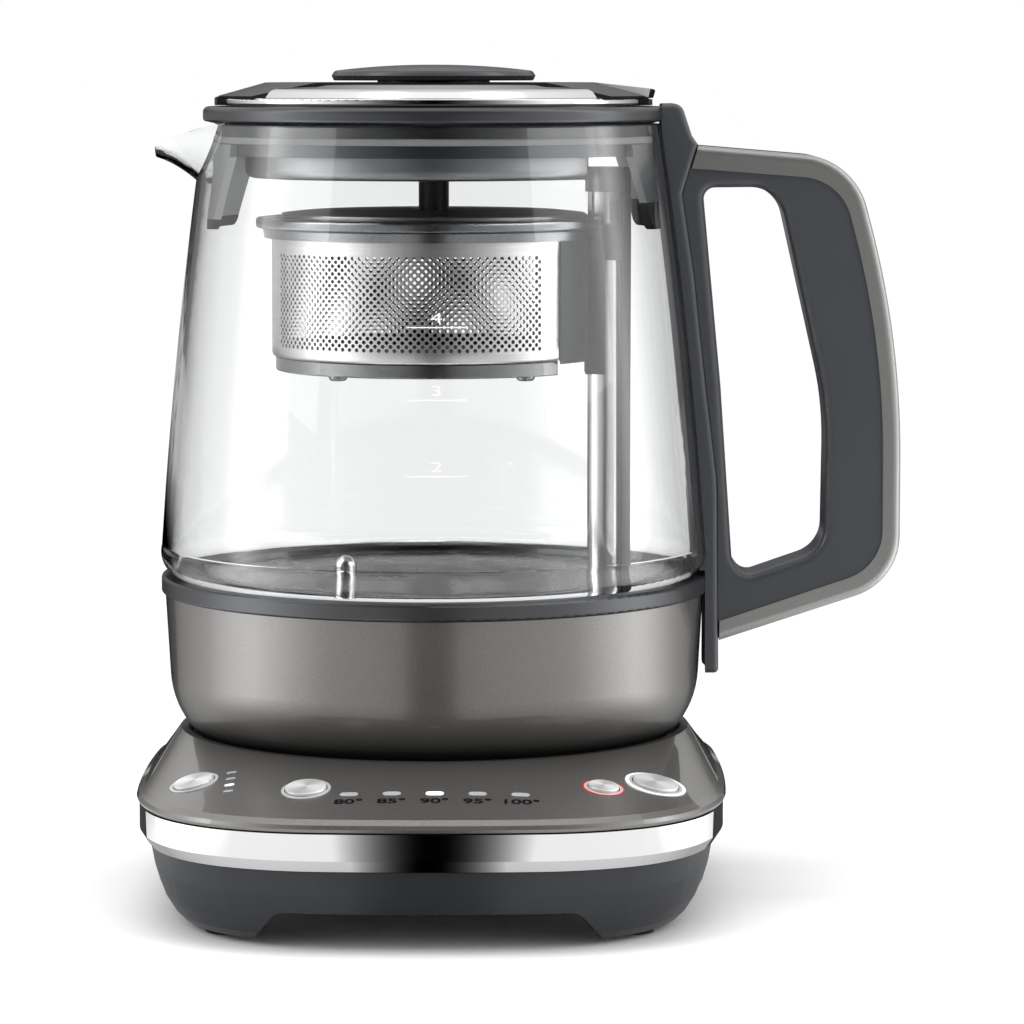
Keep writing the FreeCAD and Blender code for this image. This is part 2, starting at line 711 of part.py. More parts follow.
# ------------------------------------------------------------------------ lid
lid_plate = spun([
    (0, lid_foot_z), (lid_r - 0.5, lid_foot_z), (lid_r, 210.1), (lid_r, lid_side_z, 0.6), (55.0, lid_side_z + 0.2),
    (53.0, 213.7, 2), (44.0, 215.0, 20), (33.0, lid_top_z, 20), (0, lid_top_z),
])
bridge_slot = block(-70, 70, -bridge_half_width, bridge_half_width, lid_side_z, 230)
end_room = spun([(bridge_end_r, 200), (70, 200), (70, 230), (bridge_end_r, 230)]).common(
    block(-70, 70, -bridge_end_half, bridge_end_half, 200, 230))
lid_plate = lid_plate.cut(bridge_slot).cut(end_room)
save("lid_plate", lid_plate)
bridge = spun([
    (0, lid_side_z + 0.02), (lid_r + 0.2, lid_side_z + 0.02), (lid_r + 0.6, lid_side_z + 0.6),
    (bridge_top_r, lid_top_z, 1.5), (0, lid_top_z),
]).common(block(-70, 70, -bridge_half_width + 0.02, bridge_half_width - 0.02, 200, 230))
bridge_ends = spun([
    (bridge_end_r + 0.02, lid_foot_z), (bridge_base_r, lid_foot_z), (bridge_base_r, lid_side_z + 0.2, 0.6),
    (bridge_end_r + 0.02, lid_side_z + 0.9),
]).common(block(-70, 70, -bridge_end_half + 0.02, bridge_end_half - 0.02, 200, 230))
bridge = joined([bridge, bridge_ends])
tab_void = slab([(41.5, 215.45), (58.0, 211.0), (60, 211), (60, 217), (41.5, 217)], 12.2)
bridge = bridge.cut(tab_void)
save("lid_bridge", bridge)
tab = slab([(42.2, 215.30), (45.5, 214.44), (56.9, 211.35), (57.5, 213.9), (43.2, 215.5)], 12.0)
tab_tip = slab([(56.93, 211.35), (58.3, 211.4, 0.5), (58.9, 213.6, 0.4), (57.53, 213.9)], 11.4)
save("lid_tab", tab)
save("lid_tab_tip", tab_tip)
lid_skirt = spun([
    (0, lid_skirt_z), (lid_skirt_r, lid_skirt_z, 2.4), (lid_skirt_r, 205.0), (53.0, 207.5),
    (53.0, 209.4), (0, 209.4), (0, 207.6), (lid_skirt_r - 2, 207.6), (lid_skirt_r - 2, lid_skirt_z + 1.8),
    (0, lid_skirt_z + 1.8),
])
skirt_clip = block(40.4, 70, -60, 60, 180, 196.9)
skirt_wall = block(38.6, 40.4, -30.4, 30.4, lid_skirt_z, 198.7)
skirt_ledge = rod(0, 0, 196.9, 198.7, lid_skirt_r - 0.5).common(block(38.6, 70, -60, 60, 180, 200))
lid_skirt = lid_skirt.cut(skirt_clip).fuse(skirt_wall).fuse(skirt_ledge)
save("lid_skirt", lid_skirt.removeSplitter())
save("lid_seal", spun([
    (lid_skirt_r + 0.03, 199.0), (lid_skirt_r + 1.6, 199.0), (54.6, 200.2, 0.4), (54.6, 200.8, 0.2),
    (lid_skirt_r + 1.6, 202.2), (lid_skirt_r + 0.03, 202.2),
]))
save("lid_knob", spun([
    (0, lid_top_z), (15, lid_top_z), (15, 216.0), (26.6, 216.0, 0.5), (knob_r, 217.3),
    (26.4, 218.6, 1.3), (12.8, knob_top_z, 200), (0, knob_top_z),
]))

# --------------------------------------------------------------------- handle
spine = slab([
    (54, 205.5), (58.6, 209.8, 1.6), (65.8, 210.0, 3), (68.6, 201.5, 2), (70.2, 199.2), (66.2, 186),
    (69.4, 164.8), (72.6, 135.4, 40), (75.8, 109.4, 60), (76.3, 57.9, 1.2), (66, 57.9), (54, 130),
], spine_half_width)
edges = [e for e in spine.Edges if e.CenterOfMass.x > 60 and abs(abs(e.CenterOfMass.y) - spine_half_width) < 0.01]
spine = spine.makeFillet(1.6, edges)
glass_room = glass_body(-0.05, glass_foot_z, glass_top_z)
spine = spine.cut(glass_room)
spine = spine.cut(rod(0, 0, 40, ring_top_z + 1, ring_r + 0.02))
spine = spine.cut(rod(0, 0, glass_top_z - 8, 220, collar_r + 0.02))
save("handle_spine", spine)

trim_outline = [
    (60.0, 199.7), (111.8, 195.4, 19), (124.8, 146.5, 240), (124.7, 82.4, 17), (79.4, 67.5), (73.0, 65.4),
]
grip_outline = [
    (60.0, 193.5), (108.2, 189.8, 14), (119.9, 146.5, 235), (120.0, 86.6, 13.5), (79.4, 72.9),
    (72.5, 70.6),
]
grip_low = [
    (72.0, 70.0), (76.4, 57.9), (79.0, 66.4, 2), (80.2, 67.7), (80.2, 76), (72.0, 76),
]
hole_outline = [
    (71.6, 187.7, 3), (91.5, 187.9, 9), (104.8, 129.5, 90), (104.3, 91.0, 9), (83.0, 83.6, 4),
    (79.8, 88.5, 4), (76.6, 135.0, 80),
]
hoop = slab(trim_outline, trim_half_width)
edges = [e for e in hoop.Edges if e.CenterOfMass.x > 78 and abs(abs(e.CenterOfMass.y) - trim_half_width) < 0.01]
hoop = hoop.makeFillet(2.2, edges)
trim = hoop.cut(slab(grip_outline, 30)).cut(slab([
    (40, 215), (40, 40), (77.0, 40), (76.6, 57.9), (76.1, 109.4), (72.9, 135.4), (69.7, 164.8),
    (66.5, 186), (70.5, 199.2), (70.5, 215)], 30))
save("handle_trim", trim)
grip = slab(grip_outline, grip_half_width).cut(slab(hole_outline, 30))
edges = []
for edge in grip.Edges:
    middle = edge.CenterOfMass
    on_face = abs(abs(middle.y) - grip_half_width) < 0.01
    if on_face and 74 < middle.x < 105.2 and 83 < middle.z < 189:
        edges.append(edge)
grip = grip.makeFillet(2.2, edges)
spine_room = slab([
    (40, 215), (40, 40), (76.35, 40), (76.35, 57.9), (75.85, 109.4, 60), (72.65, 135.4, 40), (69.45, 164.8),
    (66.25, 186), (70.25, 199.2), (70.25, 215)], 30)
grip = grip.cut(spine_room)
save("handle_grip", grip)
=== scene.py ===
import json
from math import cos, pi, radians, sin

import bmesh
import bpy
from bpy.props import FloatProperty, FloatVectorProperty, IntProperty
from mathutils import Matrix, Vector


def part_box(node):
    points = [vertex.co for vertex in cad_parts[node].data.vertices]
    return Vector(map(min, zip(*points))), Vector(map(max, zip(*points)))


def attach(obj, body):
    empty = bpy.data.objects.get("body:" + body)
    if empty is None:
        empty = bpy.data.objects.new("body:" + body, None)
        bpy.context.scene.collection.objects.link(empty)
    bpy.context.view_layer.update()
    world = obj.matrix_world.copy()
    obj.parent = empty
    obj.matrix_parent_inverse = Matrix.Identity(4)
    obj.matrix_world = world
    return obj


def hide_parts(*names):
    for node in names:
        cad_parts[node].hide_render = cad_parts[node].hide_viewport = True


bl_info = {
    "name": "Tea maker",
    "version": (1, 0, 0),
    "blender": (4, 5, 0),
    "location": "3D View > Sidebar > Tea maker",
    "description": "Finishes and fine pieces of a glass tea maker on its control base",
    "category": "Object",
}

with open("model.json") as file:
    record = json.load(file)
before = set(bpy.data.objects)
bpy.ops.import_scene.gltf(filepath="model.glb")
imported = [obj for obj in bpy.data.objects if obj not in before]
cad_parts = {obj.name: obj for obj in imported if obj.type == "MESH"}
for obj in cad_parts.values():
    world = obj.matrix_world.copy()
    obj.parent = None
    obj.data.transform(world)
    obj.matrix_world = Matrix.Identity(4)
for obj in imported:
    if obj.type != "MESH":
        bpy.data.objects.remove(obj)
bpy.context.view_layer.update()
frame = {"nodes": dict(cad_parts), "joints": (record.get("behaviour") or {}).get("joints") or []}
nodes = frame["nodes"]
MM = 0.001

# painted shade: the bowl's paint darkens over this height, below this height over the bowl's foot,
# standing in for the shade between bowl and base
BOWL_PAINTED_SHADE_FADE = 13 * MM
BOWL_PAINTED_SHADE_TOP = 20.9 * MM

# each row of lamps: node, axis, place of the lit lamp along it and half the lit width
LAMP_ROWS = (("strength_lenses", 1, 0.333, 0.75 * MM), ("temperature_lenses", 0, 0.5, 3 * MM))
LENS_WIDTH = 4.6 * MM

# the basket's wall: how far it runs inside the drum's skin, its gap under the rim, its rounded foot
WALL_INSET = 0.2 * MM
WALL_TOP_GAP = 0.4 * MM
WALL_FOOT = 1.2 * MM

# figures: text size over figure height, and the edge length from which they are split to follow a curve
TEXT_PER_FIGURE = 1.4
LONG_EDGE = 0.9 * MM

# cup marks: numbers with the heights of their lines, the line's size, and the print's place and gap
CUP_LEVELS = (("4", 154.0 * MM), ("3", 135.7 * MM), ("2", 116.5 * MM))
CUP_LINE = (15.2 * MM, 0.08 * MM, 0.32 * MM)
CUP_NUMBER_RISE = 2.25 * MM
CUP_MARK_X = 1.9 * MM
CUP_MARK_Y = -90 * MM
CUP_MARK_GAP = 0.05 * MM

# panel numbers: distance in front of the lamps, thickness, and height over the panel
PANEL_NUMBER_DROP = 3.4 * MM
PANEL_NUMBER_THICKNESS = 0.06 * MM
PANEL_NUMBER_GAP = 0.07 * MM

CAMERA_PLACE = (0.02254, -1.1649, 0.21872)
CAMERA_TURN = (radians(90 - 5.807), 0, 0.0013877)
CAMERA_LENS = 152.72


# ------------------------------------------------------------------ settings
class TeaMakerColours(bpy.types.PropertyGroup):
    """Colours of the tea maker's finishes."""

    paint: FloatVectorProperty(
        name="Paint", description="Metallic paint of base and bowl", subtype="COLOR",
        size=3, min=0, max=1, default=(0.19, 0.184, 0.176))
    collar: FloatVectorProperty(
        name="Collar finish", description="Satin graphite finish of the collar and the lid",
        subtype="COLOR", size=3, min=0, max=1, default=(0.098, 0.100, 0.107))
    trim: FloatVectorProperty(
        name="Inner trim", description="Satin titanium finish of the pieces inside the jug",
        subtype="COLOR", size=3, min=0, max=1, default=(0.33, 0.334, 0.343))
    grip: FloatVectorProperty(
        name="Grip plastic", description="Soft plastic of the handle", subtype="COLOR",
        size=3, min=0, max=1, default=(0.052, 0.054, 0.060))
    tub: FloatVectorProperty(
        name="Tub plastic", description="Plastic of the lower tub", subtype="COLOR",
        size=3, min=0, max=1, default=(0.021, 0.023, 0.028))
    steel: FloatVectorProperty(
        name="Steel", description="Stainless steel", subtype="COLOR",
        size=3, min=0, max=1, default=(0.80, 0.80, 0.79))
    print_white: FloatVectorProperty(
        name="White print", description="Print on the glass", subtype="COLOR",
        size=3, min=0, max=1, default=(0.9, 0.9, 0.9))
    print_black: FloatVectorProperty(
        name="Dark print", description="Print on the panel", subtype="COLOR",
        size=3, min=0, max=1, default=(0.004, 0.004, 0.005))


class TeaMakerSizes(bpy.types.PropertyGroup):
    """Sizes of the fine pieces, in metres."""

    hole_pitch: FloatProperty(
        name="Hole pitch", description="Distance between holes in one row of the basket wall",
        subtype="DISTANCE", unit="LENGTH", default=2.1 * MM, precision=4)
    hole_size: FloatProperty(
        name="Hole size", description="Diameter of a hole in the basket wall",
        subtype="DISTANCE", unit="LENGTH", default=1.05 * MM, precision=5)
    plain_left: FloatProperty(
        name="Plain strip", description="Angle of the strip without holes on the spout's side",
        subtype="ANGLE", unit="ROTATION", default=radians(44.3))
    holes_end: FloatProperty(
        name="End of the holes", description="Angle from the front to the last hole near the column",
        subtype="ANGLE", unit="ROTATION", default=radians(40.1))
    hole_rows: IntProperty(
        name="Hole rows", description="Rows of holes round the basket wall, which come in pairs",
        default=24, min=2)
    hole_row_step: FloatProperty(
        name="Row step", description="Height from one row of holes to the next",
        subtype="DISTANCE", unit="LENGTH", default=1.03 * MM, precision=5)
    hole_margin: FloatProperty(
        name="Plain top", description="Height of the plain steel above the holes",
        subtype="DISTANCE", unit="LENGTH", default=5.2 * MM, precision=4)
    mark_height: FloatProperty(
        name="Number height", description="Height of the cup numbers on the glass",
        subtype="DISTANCE", unit="LENGTH", default=2.6 * MM, precision=4)
    panel_number_height: FloatProperty(
        name="Panel number height", description="Height of the temperature numbers",
        subtype="DISTANCE", unit="LENGTH", default=2.6 * MM, precision=4)


# ------------------------------------------------------------------ finishes
class Wire:
    """A node's output that can be used in sums."""

    def __init__(self, finish, output):
        self.finish = finish
        self.output = output

    def maths(self, operation, *others):
        values = {0: self}
        for place, other in enumerate(others):
            values[place + 1] = other
        return self.finish.node("ShaderNodeMath", {"operation": operation}, values)

    def __add__(self, other):
        return self.maths("ADD", other)

    def __radd__(self, other):
        return self.maths("ADD", other)

    def __sub__(self, other):
        return self.maths("SUBTRACT", other)

    def __rsub__(self, other):
        return self.finish.node("ShaderNodeMath", {"operation": "SUBTRACT"}, {0: other, 1: self})

    def __mul__(self, other):
        return self.maths("MULTIPLY", other)

    def __rmul__(self, other):
        return self.maths("MULTIPLY", other)

    def __truediv__(self, other):
        return self.maths("DIVIDE", other)

    def __pow__(self, other):
        return self.maths("POWER", other)

    def __gt__(self, other):
        return self.maths("GREATER_THAN", other)

    def __lt__(self, other):
        return self.maths("LESS_THAN", other)

    def __abs__(self):
        return self.maths("ABSOLUTE")

    def at_most(self, limit):
        return self.maths("MINIMUM", limit)

    def at_least(self, limit):
        return self.maths("MAXIMUM", limit)

    def clamp(self):
        """The value held between 0 and 1."""
        return self.at_most(1.0).at_least(0.0)

    def get(self, name):
        """Another output of the same node."""
        return Wire(self.finish, self.output.node.outputs[name])


class NodeMaker:
    """Adds nodes to a tree."""

    def __init__(self, tree):
        self.tree = tree

    def node(self, kind, settings, inputs):
        """Add a node, make its settings, then fill its inputs with values or wires."""
        added = self.tree.nodes.new(kind)
        for key, value in settings.items():
            setattr(added, key, value)
        for key, value in inputs.items():
            if isinstance(value, Wire):
                self.tree.links.new(value.output, added.inputs[key])
            else:
                added.inputs[key].default_value = value
        return Wire(self, added.outputs[0])

    def lead(self, wire, socket):
        """Link a wire to a socket that exists already."""
        self.tree.links.new(wire.output, socket)

    def split(self, vector):
        """The three parts of a vector."""
        parts = self.node("ShaderNodeSeparateXYZ", {}, {"Vector": vector})
        return parts.get("X"), parts.get("Y"), parts.get("Z")

    def turn_from_front(self, x, y):
        """0 straight in front, 1 at the side and 2 behind."""
        return y / (x * x + y * y + 0.000001) ** 0.5 + 1.0

    def rays(self):
        """What a ray serves: 1 for the eye, for a mirror or for a dull surface, and what mirrors keep."""
        path = self.node("ShaderNodeLightPath", {}, {})
        dull = path.get("Diffuse Depth").at_most(1.0)
        depth = path.get("Glossy Depth")
        mirrored = depth.at_most(1.0) * (1 - dull)
        kept = 1 - (depth - 1).clamp() * 0.55
        return 1 - dull - mirrored, mirrored, dull, kept


class Finish(NodeMaker):
    """A material with one Principled shader, built with expressions."""

    def __init__(self, name, **plain):
        self.material = bpy.data.materials.new(name)
        self.material.use_nodes = True
        super().__init__(self.material.node_tree)
        self.shader = self.tree.nodes["Principled BSDF"]
        self.feed(**plain)

    def feed(self, **sockets):
        """Set or link sockets of the shader; Base_Color stands for Base Color."""
        for key, value in sockets.items():
            socket = self.shader.inputs[key.replace("_", " ")]
            if isinstance(value, Wire):
                self.lead(value, socket)
            elif socket.type == "RGBA":
                socket.default_value = tuple(value) + (1,) * (4 - len(value))
            else:
                socket.default_value = value
        return self

    def place(self):
        """Object coordinates."""
        return self.node("ShaderNodeTexCoord", {}, {}).get("Object")

    def noise(self, scale, detail, stretch=None):
        """Noise from 0 to 1, with a stretch of the pattern if given."""
        where = self.place()
        if stretch:
            where = self.node("ShaderNodeMapping", {}, {"Vector": where, "Scale": stretch})
        return self.node("ShaderNodeTexNoise", {}, {"Vector": where, "Scale": scale, "Detail": detail})

    def blend(self, factor, low, high):
        """Colour between two, by a factor."""
        inputs = {0: factor, 6: self.colour(low), 7: self.colour(high)}
        return self.node("ShaderNodeMix", {"data_type": "RGBA"}, inputs).get(2)

    def colour(self, value):
        """A colour with its alpha, or a wire as it is."""
        return value if isinstance(value, Wire) else tuple(value) + (1,) * (4 - len(value))

    def bump(self, height, strength, distance):
        """Bump from a height into the shader's normal."""
        inputs = {"Height": height, "Strength": strength, "Distance": distance}
        return self.feed(Normal=self.node("ShaderNodeBump", {}, inputs))


def shade(colour, factor):
    """A darker or lighter colour."""
    return tuple(min(1.0, value * factor) for value in colour)


def metallic_paint(name, colour, roughness, foot=None):
    """Metal flake paint under a clear coat, with a painted shade that darkens it below the height foot.
    """
    finish = Finish(name, Metallic=0.8, Coat_Weight=1.0, Coat_Roughness=0.04)
    flake = finish.noise(2600, 1)
    drift = finish.noise(18, 2)
    tone = finish.blend(flake, shade(colour, 0.78), shade(colour, 1.22))
    # painted shade: colour, metal and coat fade to near black towards the bottom, standing in for the
    # shade under the bowl
    if foot:
        height = finish.split(finish.place())[2]
        clear_of_painted_shade = ((height - foot) / BOWL_PAINTED_SHADE_FADE + 1.0).clamp()
        tone = finish.blend(clear_of_painted_shade, shade(colour, 0.03), tone)
        finish.feed(Metallic=clear_of_painted_shade * 0.8, Coat_Weight=clear_of_painted_shade)
    finish.feed(Base_Color=tone, Roughness=roughness + (drift - 0.5) * 0.06)
    return finish.bump(flake, 0.03, 0.0001).material


def satin_metallic(name, colour, roughness, metallic=0.85):
    """Moulded plastic with a satin metallic lacquer."""
    finish = Finish(name, Metallic=metallic)
    grit = finish.noise(1500, 3)
    drift = finish.noise(22, 2)
    tone = finish.blend(drift, shade(colour, 0.94), shade(colour, 1.06))
    finish.feed(Base_Color=tone, Roughness=roughness + (grit - 0.5) * 0.08)
    return finish.bump(grit, 0.06, 0.0001).material


def satin_plastic(name, colour, roughness, grain=900):
    """Moulded plastic with fine spark-eroded grain."""
    finish = Finish(name, Specular_IOR_Level=0.5)
    grit = finish.noise(grain, 3)
    drift = finish.noise(25, 2)
    tone = finish.blend(drift, shade(colour, 0.93), shade(colour, 1.07))
    finish.feed(Base_Color=tone, Roughness=roughness + (grit - 0.5) * 0.1)
    return finish.bump(grit, 0.07, 0.0001).material


def gloss_plastic(name, colour):
    """Smooth moulded plastic with a shine."""
    finish = Finish(name, Coat_Weight=0.3, Coat_Roughness=0.03)
    drift = finish.noise(30, 2)
    finish.feed(Base_Color=finish.blend(drift, shade(colour, 0.9), shade(colour, 1.1)),
                Roughness=0.12 + drift * 0.06)
    return finish.material


def polished_steel(name, colour):
    """Mirror polished metal with faint handling haze."""
    finish = Finish(name, Metallic=1.0)
    haze = finish.noise(60, 3)
    finish.feed(Base_Color=finish.blend(haze, shade(colour, 0.97), shade(colour, 1.03)),
                Roughness=0.03 + haze * 0.04)
    return finish.material


def drawn_steel(name, colour, stretch, roughness=0.26, inside=1.0):
    """Steel with fine lines along one direction, and a painted shade on the inner side of a thin wall, as
    dark as the factor inside makes it.
    """
    finish = Finish(name, Metallic=1.0)
    lines = finish.noise(90, 2, stretch)
    outside = finish.blend(lines, shade(colour, 0.86), shade(colour, 1.14))
    shaded_inner_side = finish.node("ShaderNodeNewGeometry", {}, {}).get("Backfacing")
    # painted shade: backfacing sides take the colour scaled by inside
    finish.feed(Base_Color=finish.blend(shaded_inner_side, outside, shade(colour, inside)),
                Roughness=roughness + (lines - 0.5) * 0.14)
    return finish.bump(lines, 0.1, 0.00005).material


def spun_steel(name, colour, centre, normal):
    """Steel turned about a centre: rings round it, and a painted highlight of bright and dark sectors."""
    finish = Finish(name, Metallic=0.45)
    tilt = Vector((0, 0, 1)).rotation_difference(Vector(normal)).to_euler()
    local = finish.node("ShaderNodeMapping", {"vector_type": "TEXTURE"}, {
        "Vector": finish.place(), "Location": centre, "Rotation": tuple(tilt)})
    across, along = finish.split(local)[:2]
    radius = (across ** 2 + along ** 2) ** 0.5
    rings = finish.node("ShaderNodeTexNoise", {"noise_dimensions": "1D"}, {
        "W": radius * 6000, "Scale": 1.0, "Detail": 1.0})
    # painted highlight: bright and dark sectors round the centre, standing in for the light the turned
    # lines throw back
    angle = along.maths("ARCTAN2", across)
    painted_highlight_fan = (angle * 2 + 0.9).maths("COSINE") * 0.5 + 0.5
    tone = finish.blend(painted_highlight_fan * 0.8 + rings * 0.2, shade(colour, 0.6), shade(colour, 1.2))
    finish.feed(Base_Color=tone, Roughness=0.3 + rings * 0.08)
    return finish.bump(rings, 0.05, 0.00002).material


def clear_glass(name):
    """Clear glass with a trace of tint."""
    finish = Finish(name, Transmission_Weight=1.0, IOR=1.45, Roughness=0.0)
    drift = finish.noise(12, 2)
    finish.feed(Base_Color=finish.blend(drift, (0.962, 0.968, 0.968), (0.968, 0.972, 0.972)))
    return finish.material


def plain_rubber(name, colour):
    """Matt rubber."""
    finish = Finish(name, Specular_IOR_Level=0.3)
    grit = finish.noise(700, 3)
    finish.feed(Base_Color=finish.blend(grit, shade(colour, 0.9), shade(colour, 1.1)),
                Roughness=0.72 + grit * 0.1)
    return finish.bump(grit, 0.2, 0.0001).material


def glowing_lens(name, colour, strength):
    """Clear lens with a lamp under it."""
    finish = Finish(name, Roughness=0.2)
    drift = finish.noise(300, 2)
    finish.feed(Base_Color=finish.blend(drift, shade(colour, 0.9), colour))
    finish.feed(Emission_Color=colour, Emission_Strength=strength)
    return finish.material


def lamp_row(name, colour, axis, lit_at, reach):
    """Row of frosted windows, of which the one at lit_at along an axis glows."""
    finish = Finish(name, Roughness=0.18, Coat_Weight=0.6, Coat_Roughness=0.05)
    along = finish.split(finish.place())[axis]
    lit = reach > abs(along - lit_at)
    frost = finish.noise(900, 2)
    dull = finish.blend(frost, shade(colour, 0.42), shade(colour, 0.6))
    finish.feed(Base_Color=finish.blend(lit, dull, colour))
    finish.feed(Emission_Color=finish.blend(lit, (0, 0, 0), colour), Emission_Strength=0.7)
    return finish.material


def ink(name, colour):
    """Matt printing ink."""
    finish = Finish(name, Roughness=0.7, Specular_IOR_Level=0.1)
    drift = finish.noise(400, 2)
    finish.feed(Base_Color=finish.blend(drift, shade(colour, 0.92), colour))
    return finish.material


# ------------------------------------------------------------- modelling aids
def nothing_selected():
    """Leave edit mode and deselect every object."""
    if bpy.context.object and bpy.context.object.mode != "OBJECT":
        bpy.ops.object.mode_set(mode="OBJECT")
    bpy.ops.object.select_all(action="DESELECT")


def take(piece):
    """Select one object alone and make it the active one."""
    nothing_selected()
    piece.select_set(True)
    bpy.context.view_layer.objects.active = piece


def start_editing(component="VERT"):
    """Edit the active object by its verts, edges or faces."""
    bpy.ops.object.mode_set(mode="EDIT")
    bpy.ops.mesh.select_mode(type=component)


def choose(component, test):
    """Select the faces, edges or verts of the mesh in edit mode for which test is true."""
    piece = bpy.context.object
    mesh = bmesh.from_edit_mesh(piece.data)
    bpy.ops.mesh.select_mode(type=component)
    bpy.ops.mesh.select_all(action="DESELECT")
    parts = {"VERT": mesh.verts, "EDGE": mesh.edges, "FACE": mesh.faces}[component]
    for part in parts:
        if test(part):
            part.select_set(True)
    mesh.select_flush_mode()
    bmesh.update_edit_mesh(piece.data)


def seal_mesh():
    """Merge doubles, point the faces outwards and leave edit mode."""
    bpy.ops.mesh.select_all(action="SELECT")
    bpy.ops.mesh.remove_doubles(threshold=0.00001)
    bpy.ops.mesh.normals_make_consistent(inside=False)
    bpy.ops.object.mode_set(mode="OBJECT")


def settle(piece, name, material, body, smooth=0):
    """Put the piece's place into its mesh, finish it and let it ride on its body."""
    take(piece)
    bpy.ops.object.transform_apply()
    if smooth:
        bpy.ops.object.shade_smooth_by_angle(angle=radians(smooth))
    piece.name = name
    piece.data.name = name
    piece.data.materials.clear()
    piece.data.materials.append(material)
    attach(piece, body)
    return piece


def finish_nodes(material, *names):
    """Give CAD nodes a material."""
    for name in names:
        mesh = nodes[name].data
        mesh.materials.clear()
        mesh.materials.append(material)


def meet(surface, start, direction):
    """The point where a straight line first meets a surface."""
    found, spot = surface.ray_cast(Vector(start), Vector(direction))[:2]
    if not found:
        raise RuntimeError("a mark misses " + surface.name)
    return spot


def flat_number(text, height, thickness, widen, bold):
    """A number in wide figures as a thin mesh round its middle."""
    nothing_selected()
    bpy.ops.object.text_add()
    lettering = bpy.context.object
    lettering.data.body = text
    lettering.data.align_x = "CENTER"
    lettering.data.align_y = "CENTER"
    lettering.data.size = height * TEXT_PER_FIGURE
    lettering.data.extrude = thickness / 2
    lettering.data.offset = height * bold
    bpy.ops.object.convert(target="MESH")
    number = bpy.context.object
    number.scale = (widen, 1, 1)
    bpy.ops.object.transform_apply()
    start_editing("EDGE")
    choose("EDGE", lambda edge: edge.calc_length() > LONG_EDGE)
    bpy.ops.mesh.subdivide(number_cuts=1)
    bpy.ops.object.mode_set(mode="OBJECT")
    return number


